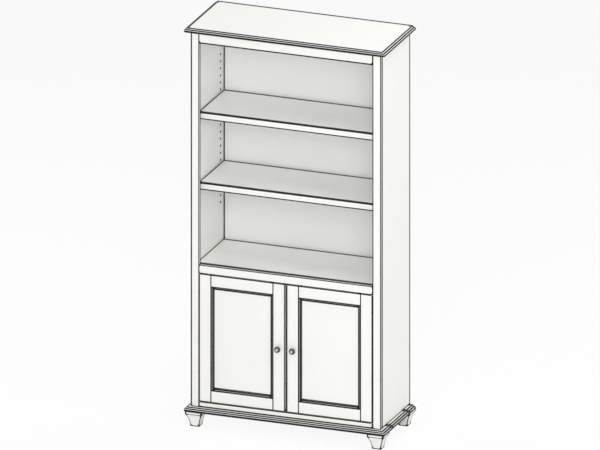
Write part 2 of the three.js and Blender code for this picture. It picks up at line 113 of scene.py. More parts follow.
# White satin enamel, brushed along the grain of each board over a primer. The brush leaves faint ridges,
# the colour clouds a little where the coat is thinner, and a dark glaze is drawn as a fine line along
# every edge. The glaze is matt, so that its lines stay dark where the enamel mirrors the room. The mesh
# says how near an edge is: its "edge" value is 1 on a plain edge, more on one whose line is broader, and
# falls to 0 at lineReach.
lineReach = 14  # mm
enamelLook = {
    "colour": "#f8f8f6",
    "shade": "#f0f0ee",
    "glaze": "#121110",
    "lineWidth": 2.7,  # mm on each face
    "lineSoftness": 0.5,
    "lineStrength": 0.99,
    "sheen": 0.5,  # specular level of the enamel
    "glazeSheen": 0.12,
    "coat": 0.1,
    "coatRoughness": 0.22,
    "brushAcross": 1.6,  # mm from ridge to ridge
    "brushAlong": 140,
    "ridge": 0.1,  # mm high, more than life so that it shows
    "ridgeStrength": 0.2,
    "cloud": 180,  # mm
    "detail": 3,
    "roughness": (0.31, 0.43),  # between the ridges, and on them
}


def makeEnamel(name, along, look):
    material, tree = newMaterial(name)
    place = addNode(tree, "ShaderNodeTexCoord").outputs["Object"]
    across, length = 1 / (look["brushAcross"] * mm), 1 / (look["brushAlong"] * mm)
    scale = [length if axis == along else across for axis in "XYZ"]
    stretched = addNode(tree, "ShaderNodeMapping", {"Scale": scale}, {"Vector": place}).outputs[0]
    ridges = addNode(
        tree, "ShaderNodeTexNoise", {"Scale": 1, "Detail": look["detail"]}, {"Vector": stretched}
    ).outputs[0]
    clouds = addNode(
        tree,
        "ShaderNodeTexNoise",
        {"Scale": 1 / (look["cloud"] * mm), "Detail": look["detail"]},
        {"Vector": place},
    ).outputs[0]
    tone = addNode(tree, "ShaderNodeMix", {"Factor": 0.5}, {2: ridges, 3: clouds}).outputs[0]
    film = addNode(
        tree,
        "ShaderNodeMix",
        {6: toLinear(look["colour"]), 7: toLinear(look["shade"])},
        {"Factor": tone},
        data_type="RGBA",
    ).outputs[2]
    near = addNode(tree, "ShaderNodeAttribute", attribute_name="edge").outputs["Fac"]
    limits = [1 - (look["lineWidth"] + half * look["lineSoftness"]) / lineReach for half in (0.5, -0.5)]
    line = addNode(
        tree,
        "ShaderNodeMapRange",
        {"From Min": limits[0], "From Max": limits[1], "To Max": look["lineStrength"]},
        {"Value": near},
    ).outputs[0]
    colour = addNode(
        tree, "ShaderNodeMix", {7: toLinear(look["glaze"])}, {"Factor": line, 6: film}, data_type="RGBA"
    ).outputs[2]
    smoothest, roughest = look["roughness"]
    rough = addNode(
        tree, "ShaderNodeMapRange", {"To Min": smoothest, "To Max": roughest}, {"Value": ridges}
    ).outputs[0]
    bump = addNode(
        tree,
        "ShaderNodeBump",
        {"Strength": look["ridgeStrength"], "Distance": look["ridge"] * mm},
        {"Height": ridges},
    ).outputs[0]
    sheen = addNode(
        tree, "ShaderNodeMapRange", {"To Min": look["sheen"], "To Max": look["glazeSheen"]}, {"Value": line}
    ).outputs[0]
    coat = addNode(
        tree, "ShaderNodeMapRange", {"To Min": look["coat"], "To Max": 0}, {"Value": line}
    ).outputs[0]
    shader = addNode(
        tree,
        "ShaderNodeBsdfPrincipled",
        {"Coat Roughness": look["coatRoughness"]},
        {
            "Base Color": colour,
            "Roughness": rough,
            "Normal": bump,
            "Specular IOR Level": sheen,
            "Coat Weight": coat,
        },
    )
    addNode(tree, "ShaderNodeOutputMaterial", None, {"Surface": shader.outputs[0]})
    return material


# Satin nickel plate over turned or pressed metal: a warm grey that mirrors softly, with fine polishing
# marks and a darker tarnish in patches.
nickelLook = {
    "colour": "#b3aea4",
    "tarnish": "#8b857b",
    "patch": 9,  # mm
    "marks": 0.35,  # mm from mark to mark
    "markDepth": 0.05,
    "markStrength": 0.1,
    "detail": 2,
    "roughness": (0.24, 0.4),
}
# Aged pewter plate is the same with a dark patina, which is worn off the high places: there it takes a pale
# colour, where the mesh's "edge" value is above 0. On a knob's dome that pale spot is partly wear and
# partly a painted highlight.
pewterLook = {**nickelLook, "colour": "#6b6a68", "tarnish": "#333231", "polishAndHighlight": "#e3e1dd", "patch": 6}


def makePlate(name, look):
    material, tree = newMaterial(name)
    place = addNode(tree, "ShaderNodeTexCoord").outputs["Object"]
    marks, patch = (
        addNode(
            tree,
            "ShaderNodeTexNoise",
            {"Scale": 1 / (look[size] * mm), "Detail": look["detail"]},
            {"Vector": place},
        ).outputs[0]
        for size in ("marks", "patch")
    )
    colour = addNode(
        tree,
        "ShaderNodeMix",
        {6: toLinear(look["colour"]), 7: toLinear(look["tarnish"])},
        {"Factor": patch},
        data_type="RGBA",
    ).outputs[2]
    # A pale spot where the edge value is above 0: partly wear, partly a painted highlight
    if "polishAndHighlight" in look:
        high = addNode(tree, "ShaderNodeAttribute", attribute_name="edge").outputs["Fac"]
        polishAndHighlight = toLinear(look["polishAndHighlight"])
        colour = addNode(
            tree, "ShaderNodeMix", {7: polishAndHighlight}, {"Factor": high, 6: colour}, data_type="RGBA"
        ).outputs[2]
    smoothest, roughest = look["roughness"]
    rough = addNode(
        tree, "ShaderNodeMapRange", {"To Min": smoothest, "To Max": roughest}, {"Value": marks}
    ).outputs[0]
    bump = addNode(
        tree,
        "ShaderNodeBump",
        {"Strength": look["markStrength"], "Distance": look["markDepth"] * mm},
        {"Height": marks},
    ).outputs[0]
    shader = addNode(
        tree,
        "ShaderNodeBsdfPrincipled",
        {"Metallic": 1.0},
        {"Base Color": colour, "Roughness": rough, "Normal": bump},
    )
    addNode(tree, "ShaderNodeOutputMaterial", None, {"Surface": shader.outputs[0]})
    return material


# Injection-moulded nylon: cream white with the fine matt grain of its mould.
nylonLook = {
    "colour": "#d9d5cb",
    "pale": "#e2dfd6",
    "grain": 0.6,  # mm
    "grainDepth": 0.05,
    "grainStrength": 0.2,
    "roughness": (0.5, 0.65),
}


def makeNylon(name, look):
    material, tree = newMaterial(name)
    place = addNode(tree, "ShaderNodeTexCoord").outputs["Object"]
    grain = addNode(
        tree, "ShaderNodeTexVoronoi", {"Scale": 1 / (look["grain"] * mm)}, {"Vector": place}
    ).outputs["Distance"]
    colour = addNode(
        tree,
        "ShaderNodeMix",
        {6: toLinear(look["colour"]), 7: toLinear(look["pale"])},
        {"Factor": grain},
        data_type="RGBA",
    ).outputs[2]
    bump = addNode(
        tree,
        "ShaderNodeBump",
        {"Strength": look["grainStrength"], "Distance": look["grainDepth"] * mm},
        {"Height": grain},
    ).outputs[0]
    smoothest, roughest = look["roughness"]
    rough = addNode(
        tree, "ShaderNodeMapRange", {"To Min": smoothest, "To Max": roughest}, {"Value": grain}
    ).outputs[0]
    shader = addNode(
        tree, "ShaderNodeBsdfPrincipled", None, {"Base Color": colour, "Roughness": rough, "Normal": bump}
    )
    addNode(tree, "ShaderNodeOutputMaterial", None, {"Surface": shader.outputs[0]})
    return material


enamelAlong = {axis: makeEnamel("brushedEnamelAlong" + axis, axis, enamelLook) for axis in "XYZ"}
# Laid on with a roller, so its texture runs along no axis
rolledEnamel = makeEnamel("rolledEnamel", "", {**enamelLook, "brushAcross": 3.5, "colour": "#f5f5f3"})
satinNickel = makePlate("satinNickelPlate", nickelLook)
agedPewter = makePlate("agedPewterPlate", pewterLook)
mouldedNylon = makeNylon("mouldedNylon", nylonLook)
for name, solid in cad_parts.items():
    if name.endswith(("pin", "leaf", "strike")):
        finish = satinNickel
    elif name == "double_catch":
        finish = mouldedNylon
    else:
        finish = enamelAlong["X"]
    solid.data.materials.clear()
    solid.data.materials.append(finish)
print("materials made")

# Mesh helpers. A skin is its points in mm, its faces and the edge value of each point.
mergeDistance = 0.002 * mm
perCorner = 5  # points at each corner of an eased outline


# A closed skin through rings, an array of (levels, points round, 3): quads join each ring to the next,
# and one flat face closes each end. A quad where the edge value differs more across one diagonal than the
# other is cut along that diagonal, so that the drawn lines meet in sharp corners.
def ringSkin(rings, edge, leastDifference=0.1):
    levels, count, _ = rings.shape
    edge = np.broadcast_to(edge, (levels, count)).reshape(-1)
    index = np.arange(levels * count).reshape(levels, count)
    onward = np.roll(index, -1, axis=1)
    quads = np.stack([index[:-1], index[1:], onward[1:], onward[:-1]], -1).reshape(-1, 4)
    first, second = np.abs(edge[quads[:, :2]] - edge[quads[:, 2:]]).T
    cut = np.abs(first - second) > leastDifference
    turned = np.where((first < second)[:, None], np.roll(quads, 1, axis=1), quads)[cut]
    faces = quads[~cut].tolist() + turned[:, :3].tolist() + turned[:, [0, 2, 3]].tolist()
    return rings.reshape(-1, 3), faces + [index[0].tolist(), index[-1][::-1].tolist()], edge


# The same skin on the other side of the case's middle plane, where x changes its sign.
def mirrored(skin):
    points, faces, edge = skin
    return points * [-1, 1, 1], faces, edge


# One piece from its skins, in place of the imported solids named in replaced.
def addPiece(name, skins, body, material, replaced, sharpAngle=40):
    points, faces, start = [], [], 0
    for skinPoints, skinFaces, _ in skins:
        points.append(skinPoints)
        faces += [[start + i for i in face] for face in skinFaces]
        start += len(skinPoints)
    mesh = bpy.data.meshes.new(name)
    mesh.from_pydata((np.concatenate(points) * mm).tolist(), [], faces)
    edgeValue = mesh.attributes.new("edge", "FLOAT", "POINT")
    edgeValue.data.foreach_set("value", np.concatenate([edge for _, _, edge in skins]).astype(np.float32))
    work = bmesh.new()
    work.from_mesh(mesh)
    bmesh.ops.remove_doubles(work, verts=work.verts, dist=mergeDistance)
    bmesh.ops.dissolve_degenerate(work, edges=work.edges, dist=mergeDistance)
    bmesh.ops.recalc_face_normals(work, faces=work.faces)
    work.to_mesh(mesh)
    work.free()
    mesh.polygons.foreach_set("use_smooth", np.ones(len(mesh.polygons), bool))
    mesh.set_sharp_from_angle(angle=math.radians(sharpAngle))
    mesh.materials.append(material)
    made = bpy.data.objects.new(name, mesh)
    scene.collection.objects.link(made)
    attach(made, body)
    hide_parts(*replaced)


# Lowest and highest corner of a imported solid, in mm.
def solidBox(name):
    low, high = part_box(name)
    return np.array(low) / mm, np.array(high) / mm


# Edge value of each point of a path. A mark is a point and how much broader its line is, in mm. The value
# falls with the distance along the path from the nearest mark.
def edgeAlong(path, marks):
    marks = np.array(marks)
    run = np.concatenate([[0], np.cumsum(np.linalg.norm(np.diff(path, axis=0), axis=1))])
    at = np.linalg.norm(path[:, None] - marks[:, :2], axis=-1).argmin(0)
    away = np.abs(run[:, None] - run[at]) - marks[:, 2]
    return np.maximum(1 - away.min(1) / lineReach, 0)


# Boards: eased along every arris, with a point lineReach in from each arris for the drawn line to fade at
boardShape = {
    "ease": 0.9,
    "arcShare": 0.293,  # of the ease, from a corner to the middle of its arc
    "fadeShare": 0.45,  # of a side, the most that a line fades over
    "easeShare": 0.3,  # of a side, the most that is eased
    "markRoom": 0.5,  # mm between the fade of an end's line and the first mark
    "unlined": 0.5,  # edge value of an arris that has no line
    "firm": 1.15,  # and of those whose line is broader than on a plain one
    "bold": 1.38,
    "boldest": 20,
    "endEdge": 1.3,  # edge value at the ends of a shelf or a side
    "jointEdge": 0.85,  # edge value at the end of a rail, which the line of its stile adds to
}
firm, bold, boldest = boardShape["firm"], boardShape["bold"], boardShape["boldest"]


# Each corner of an outline becomes five points: the line's end before it, a rounded corner of three
# points on the corner's bisector, and the line's end after it.
def easedOutline(corners, ease):
    ahead = np.roll(corners, -1, axis=-2) - corners
    length = np.linalg.norm(ahead, axis=-1, keepdims=True)
    after = ahead / length
    before = np.roll(after, 1, axis=-2)
    reachAfter = np.minimum(lineReach, boardShape["fadeShare"] * length)
    easeAfter = np.minimum(ease, boardShape["easeShare"] * length)
    reachBefore, easeBefore = np.roll(reachAfter, 1, axis=-2), np.roll(easeAfter, 1, axis=-2)
    points = np.stack(
        [
            corners - reachBefore * before,
            corners - easeBefore * before,
            corners + boardShape["arcShare"] * (easeAfter * after - easeBefore * before),
            corners + easeAfter * after,
            corners + reachAfter * after,
        ],
        axis=-2,
    )
    whole = np.ones_like(reachAfter)
    edge = np.stack([1 - reachBefore / lineReach, whole, whole, whole, 1 - reachAfter / lineReach], axis=-2)
    layout = (*corners.shape[:-2], -1)
    return points.reshape(*layout, 2), edge.reshape(layout)


# Every corner moves in by the same distance from both of its sides, once for each inset.
def insetOutline(corners, inset):
    ahead = np.roll(corners, -1, axis=0) - corners
    along = ahead / np.linalg.norm(ahead, axis=-1, keepdims=True)
    inward = np.stack([-along[:, 1], along[:, 0]], -1)
    return corners + np.asarray(inset)[:, None, None] * (inward + np.roll(inward, 1, axis=0))


# Rings of a board: its counter-clockwise outline carried along an axis between two levels, drawn in at
# both ends. Marks are further [level, edge value] pairs between them, where a drawn line crosses the
# board. Strong gives the corners of the outline that have another line than a plain one, and their edge
# value.
def boardRings(outline, axis, start, end, marks, strong, endEdge):
    ease, fadeShare = boardShape["ease"], boardShape["fadeShare"]
    arc = boardShape["arcShare"] * ease
    reach = min(lineReach, fadeShare * (end - start))
    if len(marks):
        reach = min(reach, marks[0][0] - start - boardShape["markRoom"])
    spans = np.linalg.norm(np.roll(outline, -1, axis=0) - outline, axis=-1)
    capReach = min(lineReach, fadeShare * spans.min())
    # Rows of [distance from the end, inset, edge value]
    ends = [[0, capReach, 1 - capReach / lineReach], [0, ease, 1], [arc, arc, 1], [ease, 0, endEdge]]
    ends = np.array([*ends, [reach, 0, 1 - reach / lineReach]])
    between = np.array([[level, 0, value] for level, value in marks]).reshape(-1, 3)
    levels = np.concatenate([start + ends[:, 0], between[:, 0], end - ends[::-1, 0]])
    insets, values = np.concatenate([ends, between, ends[::-1]])[:, 1:].T
    loops, loopEdge = easedOutline(insetOutline(outline, insets), ease)
    parts = [loops[..., 0], loops[..., 1]]
    parts.insert("XYZ".index(axis), np.broadcast_to(levels[:, None], loops.shape[:-1]))
    weight = [strong.get(corner, 1) for corner in range(len(outline))]
    edge = np.maximum(values[:, None], loopEdge * np.repeat(weight, perCorner))
    edge[[0, -1]] = values[0]
    return np.stack(parts, -1), edge


# A plain board that fills a box, with its grain along an axis. Along X its corners are numbered from the
# lower front one, and along Z from the front left one, counter-clockwise as seen from +X and from above.
def boxSkin(low, high, axis, marks=(), strong=None, endEdge=1):
    along = "XYZ".index(axis)
    u, v = [i for i in range(3) if i != along]
    outline = np.array([[low[u], low[v]], [high[u], low[v]], [high[u], high[v]], [low[u], high[v]]])
    return ringSkin(*boardRings(outline, axis, low[along], high[along], marks, strong or {}, endEdge))


# The piece that stands for left_side_panel is leftSidePanel.
def pieceName(node):
    first, *rest = node.split("_")
    return first + "".join(word.title() for word in rest)


# A packed board made again in its own box.
def addBoard(node, body, axis, marks=(), strong=None, endEdge=1):
    skin = boxSkin(*solidBox(node), axis, marks, strong, endEdge)
    addPiece(pieceName(node), [skin], body, enamelAlong[axis], [node])


# Case: boards housed in the sides, and a frame of stiles and rails on the front
caseShape = {
    "innerHalf": 412.75,
    "stileInner": 393.7,
    "seam": 0.3,
    "tenonLength": 19.05,
    "tenonThickness": 6.35,
    "tenonShoulder": 6.35,
    "tenonStart": 1,  # how far inside the rail a tenon starts
    "rabbetWidth": 9.525,
    "rabbetDepth": 5.06,
    "hingeRelief": 0.2,  # left over the hinge leaves let into the rails
    "housingLine": 0.1,  # how far out of its housing a board has the line where it meets the side
    "backEdge": 1.12,  # edge value of that line on the back panel
}
pinHoles = {
    "radius": 2.5,
    "rim": (8.5, 6.2),  # where the edge value round a hole is 0, in depth and in height
    # The hole's mouth, walls and bottom take the full dark glaze: painted shade in the hole
    "holeShadeEdge": 5,  # edge value at its mouth
    "depth": 9.5,
    "pitch": 31.75,
    "rows": ((292.1, 7), (908.05, 22)),  # height of the lowest hole, and holes in the row
    "columns": (-117.475, 134.94),
    "cellHalf": 9,
    "around": 16,
}


# One row of holes up a side: cells stacked a pitch apart, each with a round hole in it. Rings of points
# stand round each centre at the rim, at the hole's mouth and at its bottom.
def holeRow(holes, column, first, count, faceX, start):
    around = holes["around"]
    z = first + holes["pitch"] * np.arange(count)
    border = first + holes["pitch"] * (np.arange(count + 1) - 0.5)
    angle = np.arange(around) / around * 2 * math.pi
    face = np.full(count + 1, faceX)
    sides = [np.stack([face, face * 0 + column + d * holes["cellHalf"], border], -1) for d in (-1, 1)]
    circles = []
    mouth = (holes["radius"], holes["radius"])
    for (halfY, halfZ), depth in ((holes["rim"], 0), (mouth, 0), (mouth, holes["depth"])):
        y = column + halfY * np.cos(angle)[None, :] + 0 * z[:, None]
        up = z[:, None] + halfZ * np.sin(angle)[None, :]
        circles.append(np.stack([np.full_like(y, faceX - depth), y, up], -1).reshape(-1, 3))
    points = np.concatenate([*sides, *circles])
    # Full glaze on the mouth, walls and bottom, painted shade inside each hole; the face fades to none at
    # the rim
    edge = np.full(len(points), holes["holeShadeEdge"])
    edge[: -2 * len(circles[0])] = 0
    left = start + np.arange(count + 1)
    right = left + count + 1
    loops = start + 2 * (count + 1) + np.arange(3 * count * around)
    rim, lip, bottom = loops.reshape(3, count, around)
    corners = [right[:-1], right[1:], left[1:], left[:-1]]
    quarter = around // 4
    faces = []
    for side in range(4):
        turn = quarter * side + np.arange(quarter // 2, -quarter // 2 - 1, -1)
        run = [rim[:, i % around] for i in turn]
        faces += np.stack([corners[side], corners[(side + 1) % 4], *run], -1).tolist()
    for outer, inner in ((rim, lip), (lip, bottom)):
        quads = np.stack([outer, np.roll(outer, -1, 1), np.roll(inner, -1, 1), inner], -1)
        faces += quads.reshape(-1, 4).tolist()
    return points, faces + bottom.tolist(), edge, left.tolist(), right.tolist()


# The left side: its plan has a rabbet for the back, and its inner face is laid out round the pin holes.
def sidePanelSkin(shape, holes):
    low, high = solidBox("left_side_panel")
    inner, rabbetX, rabbetY = high[0], high[0] - shape["rabbetWidth"], high[1] - shape["rabbetDepth"]
    plan = [[low[0], low[1]], [inner, low[1]], [inner, rabbetY], [rabbetX, rabbetY], [rabbetX, high[1]]]
    plan = np.array([*plan, [low[0], high[1]]])
    strong = {0: firm, 2: firm, 5: boldest}
    rings, edge = boardRings(plan, "Z", low[2], high[2], (), strong, boardShape["endEdge"])
    levels, count, _ = rings.shape
    points, faces, edge = ringSkin(rings, edge)
    # The inner face lies between the two middle rings, from the plan's second corner to its third
    lowerFront = (levels // 2 - 1) * count + 2 * perCorner - 1
    lowerBack, upperFront, upperBack = lowerFront + 1, lowerFront + count, lowerFront + count + 1
    inside = {lowerFront, lowerBack, upperFront, upperBack}
    faces = [face for face in faces if set(face) != inside]
    blocks, edges, leftRuns, rightRuns, start = [points], [edge], [], [], len(points)
    for column in holes["columns"]:
        leftRun, rightRun = [], []
        for first, number in holes["rows"]:
            rowPoints, rowFaces, rowEdge, left, right = holeRow(holes, column, first, number, inner, start)
            blocks.append(rowPoints)
            edges.append(rowEdge)
            faces += rowFaces
            if leftRun:
                faces.append([leftRun[-1], rightRun[-1], right[0], left[0]])
            leftRun += left
            rightRun += right
            start += len(rowPoints)
        leftRuns.append(leftRun)
        rightRuns.append(rightRun)
    faces.append([lowerFront, *leftRuns[0], upperFront])
    faces.append([*rightRuns[0], *leftRuns[1][::-1]])
    faces.append([lowerBack, upperBack, *rightRuns[1][::-1]])
    for end, front, back in ((0, lowerFront, lowerBack), (-1, upperFront, upperBack)):
        runs = [rightRuns[1][end], leftRuns[1][end], rightRuns[0][end], leftRuns[0][end]]
        faces.append([front, back, *runs])
    return np.concatenate(blocks), faces, np.concatenate(edges)


# A rail and its two tenons, which start a little inside it.
def railSkins(node, shape, relief, strong):
    low, high = solidBox(node)
    low[2] += relief[0]
    high[2] -= relief[1]
    half = shape["stileInner"] - shape["seam"]
    low[0], high[0] = -half, half
    skins = [boxSkin(low, high, "X", (), strong, boardShape["jointEdge"])]
    inY = (low[1] + high[1]) / 2 + np.array([-0.5, 0.5]) * shape["tenonThickness"]
    inZ = [low[2] + shape["tenonShoulder"], high[2] - shape["tenonShoulder"]]
    for side in (-1, 1):
        inX = sorted((side * (half - shape["tenonStart"]), side * (half + shape["tenonLength"])))
        skins.append(boxSkin(*np.array([inX, inY, inZ]).T, "X"))
    return skins


def addCase(shape, holes):
    side = sidePanelSkin(shape, holes)
    addPiece("leftSidePanel", [side], "case", enamelAlong["Z"], ["left_side_panel"])
    addPiece("rightSidePanel", [mirrored(side)], "case", enamelAlong["Z"], ["right_side_panel"])
    for node, outer in (("left_stile", bold), ("right_stile", firm)):
        addBoard(node, "case", "Z", (), {0: outer, 2: boldest})
    relief = shape["hingeRelief"]
    # What is left over the hinge leaves below and above, and the lines that aren't plain
    rails = {
        "top_rail": ((0, 0), {0: bold, 3: boardShape["unlined"]}),
        "mid_rail": ((relief, 0), {2: boldest}),
        "bottom_rail": ((0, relief), {0: bold}),
    }
    for node, (trim, strong) in rails.items():
        rail = railSkins(node, shape, trim, strong)
        addPiece(pieceName(node), rail, "case", enamelAlong["X"], [node])
    at = shape["innerHalf"] - shape["housingLine"]
    shelfMarks, backMarks = (
        [(-at, value), (lineReach - at, 0), (at - lineReach, 0), (at, value)]
        for value in (boardShape["endEdge"], shape["backEdge"])
    )
    for node in ("fixed_shelf", "cabinet_floor", "sub_top"):
        addBoard(node, "case", "X", shelfMarks, {2: boldest, 3: boldest})
    back = boxSkin(*solidBox("back_panel"), "X", backMarks)
    addPiece("backPanel", [back], "case", rolledEnamel, ["back_panel"])


addCase(caseShape, pinHoles)
print("case made")

# Moulded top and base: a ledge, a cove, a bead and an upright edge, with a fine quirk after cove and bead
edgeMoulding = {
    "cove": 6.35,
    "bead": 6.35,
    "quirk": 0.8,  # drop of the step under the cove, and width of the cut under the bead
    "cutDepth": 0.64,
    # How much broader the drawn lines are at the ledge, over and under the bead, and at the bottom
    "broader": (1.6, 1.8, 0.7, 0),
    "leftWeight": 2.2,  # factor on the edge value along the top's left ledge
    "endEdge": 1.3,  # edge value where a rail ends against the next
    "ease": 0.6,
    "steps": 12,
    "turnSteps": 10,  # round a front corner
}


# The edge from the ledge down, as [out, down]: a quarter circle hollowed in, a small step, a quarter of
# an ellipse swelling out, a v-shaped cut and a straight drop. It never turns up again, so that the flat
# sides of the board lie open under it.
def mouldingProfile(shape, thickness):
    turn = np.linspace(0, math.pi / 2, shape["steps"])[:, None]
    reach, quirk, ease = shape["cove"] + shape["bead"], shape["quirk"], shape["ease"]
    cove = shape["cove"] * np.hstack([1 - np.cos(turn), np.sin(turn)])
    swell = np.hstack([shape["bead"] * np.sin(turn), (shape["bead"] - quirk) * (1 - np.cos(turn))])
    bead = [shape["cove"], shape["cove"] + quirk] + swell
    profile = np.vstack(
        [
            [[-lineReach, 0], [-ease, 0], [0, ease]],
            cove[1:],
            bead[:-1],
            [[reach, reach - quirk / 2], [reach - shape["cutDepth"], reach], [reach, reach + quirk / 2]],
            [[reach, thickness - ease], [reach - ease, thickness], [reach - lineReach, thickness]],
        ]
    )
    places = [[0, 0], bead[0], [reach - quirk, reach], [reach, thickness]]
    return profile, edgeAlong(profile, np.column_stack([places, shape["broader"]]))


# Rings of a moulded board from the top down. x and y are its ledge lines. Each ring steps out from them
# on the moulded sides as the profile says, and the front corners turn on a quarter circle of that same
# step. The left weight makes the line broader along the left ledge.
def mouldedSkin(shape, x, y, z, rightOut=True, frontOut=True, leftWeight=1):
    profile, value = mouldingProfile(shape, z[1] - z[0])
    out, down = profile[:, 0], profile[:, 1]
    plain = np.clip(1 - np.minimum(down, down.max() - down) / lineReach, 0, 1)
    flat = np.zeros_like(out)
    flat[[0, -1]] = lineReach
    leftX, rightX = x[0] - out, x[1] + out if rightOut else x[1] - flat
    backY = y[1] - flat
    inner = np.maximum(-out, 0)
    rightValue = value if rightOut else plain
    one = np.full_like(out, shape["endEdge"])
    leftValue = np.where(out > 0, value, value * leftWeight)
    # Columns of [x, y, edge value], one for each point round
    columns = [[leftX + lineReach, backY, plain], [leftX, backY, one]]
    columns += [[leftX, backY - lineReach, leftValue]]
    if frontOut:
        turn = np.linspace(0, math.pi / 2, shape["turnSteps"])
        radius = np.maximum(out, 0)
        for angle in turn:
            outX, outY = radius * math.cos(angle), radius * math.sin(angle)
            columns.append([x[0] + inner - outX, y[0] + inner - outY, leftValue])
        columns.append([x[0] + lineReach + 0 * out, y[0] - out, value])
        for angle in turn[::-1]:
            outX, outY = radius * math.cos(angle), radius * math.sin(angle)
            columns.append([x[1] - inner + outX, y[0] + inner - outY, value])
    else:
        frontY = y[0] + flat
        columns += [[leftX, frontY + lineReach, value], [leftX, frontY, one]]
        columns += [[leftX + lineReach, frontY, plain], [rightX - lineReach, frontY, plain]]
        columns += [[rightX, frontY, one], [rightX, frontY + lineReach, rightValue]]
    columns += [[rightX, backY - lineReach, rightValue], [rightX, backY, one]]
    columns += [[rightX - lineReach, backY, plain]]
    ringX, ringY, edge = np.array(columns).transpose(1, 2, 0)
    # The ledge's back arris has the boldest line
    edge[1:3, ringY[1] > y[1] - shape["ease"]] *= boldest
    edge[[0, -1]] = 0
    return ringSkin(np.stack([ringX, ringY, z[1] - down[:, None] + 0 * ringX], -1), edge)


def addMouldedBoards(shape):
    reach = shape["cove"] + shape["bead"]
    low, high = solidBox("top_panel")
    x, y = [low[0] + reach, high[0] - reach], [low[1] + reach, high[1]]
    top = mouldedSkin(shape, x, y, [low[2], high[2]], leftWeight=shape["leftWeight"])
    addPiece("topPanel", [top], "case", enamelAlong["X"], ["top_panel"])
    low, high = solidBox("front_base_rail")
    front = mouldedSkin(shape, x, [y[0], high[1]], [low[2], high[2]])
    addPiece("frontBaseRail", [front], "case", enamelAlong["X"], ["front_base_rail"])
    low, high = solidBox("back_base_rail")
    back = mouldedSkin(shape, x, [low[1], high[1]], [low[2], high[2]], frontOut=False)
    addPiece("backBaseRail", [back], "case", enamelAlong["X"], ["back_base_rail"])
    low, high = solidBox("left_base_rail")
    sideX, sideY = [x[0], high[0]], [low[1], high[1]]
    side = mouldedSkin(shape, sideX, sideY, [low[2], high[2]], rightOut=False, frontOut=False)
    addPiece("leftBaseRail", [side], "case", enamelAlong["Y"], ["left_base_rail"])
    addPiece("rightBaseRail", [mirrored(side)], "case", enamelAlong["Y"], ["right_base_rail"])


addMouldedBoards(edgeMoulding)

# Feet: square blocks whose four sides curve in from a band to the sole
footShape = {
    "width": 76.2,
    "sole": 41.275,
    "height": 69.55,
    "band": 12.4,
    "ease": 1,
    "curveSteps": 22,
    "broader": (1.5, -1.2, 0),  # how much broader the lines are at the sole, under the band and on top
    "backWeight": 1.6,  # factor on the edge value of the two back corners
}


# Half width against height: constant in the band, then an arc that is upright at the sole.
def footSkin(shape):
    height, ease = shape["height"], shape["ease"]
    arc = boardShape["arcShare"] * ease
    rise = height - shape["band"]
    flare = (shape["width"] - shape["sole"]) / 2
    radius = (rise**2 + flare**2) / (2 * flare)
    curve = np.linspace(ease, rise, shape["curveSteps"])
    band = [rise + ease, rise + shape["band"] / 2, height - ease]
    z = np.array([0, 0, arc, *curve, *band, height - arc, height, height])
    half = shape["sole"] / 2 + radius - np.sqrt(radius**2 - np.minimum(z, rise) ** 2)
    inset = np.zeros_like(z)
    inset[:3] = [lineReach, ease, arc]
    inset[-3:] = [arc, ease, lineReach]
    corners = (half - inset)[:, None, None] * np.array([[-1, -1], [1, -1], [1, 1], [-1, 1]])
    loops, loopEdge = easedOutline(corners, ease)
    rings = np.concatenate([loops, np.broadcast_to(z[:, None, None], (*loops.shape[:2], 1))], -1)
    away = (np.abs(z[:, None] - [0, rise, height]) - shape["broader"]).min(1)
    value = np.maximum(1 - away / lineReach, 0)
    weight = np.repeat([1, 1, shape["backWeight"], shape["backWeight"]], perCorner)
    edge = np.maximum(value[:, None], loopEdge * weight)
    edge[[0, -1]] = 0
    return ringSkin(rings, edge)


def addFeet(shape):
    points, faces, edge = footSkin(shape)
    for end in ("front", "back"):
        for side in ("left", "right"):
            node = f"{end}_{side}_foot"
            low, high = solidBox(node)
            foot = (points + (low + high) / 2 * [1, 1, 0], faces, edge)
            addPiece(pieceName(node), [foot], "case", enamelAlong["Z"], [node])


addFeet(footShape)
print("moulded boards and feet made")

# Loose shelves: a board, and on the two upper ones a nosing with a rounded top arris
nosingShape = {
    "topRadius": 6.35,
    "lowerRadius": 2.4,
    "topBroader": 5.5,  # how much broader the drawn line is on the rounded arris
    "lowerBroader": 2.6,
    "backReach": 3,  # mm under the back edge that its line fades over
    "capReach": 5,  # the same from the edges of an end
    "steps": 9,
}


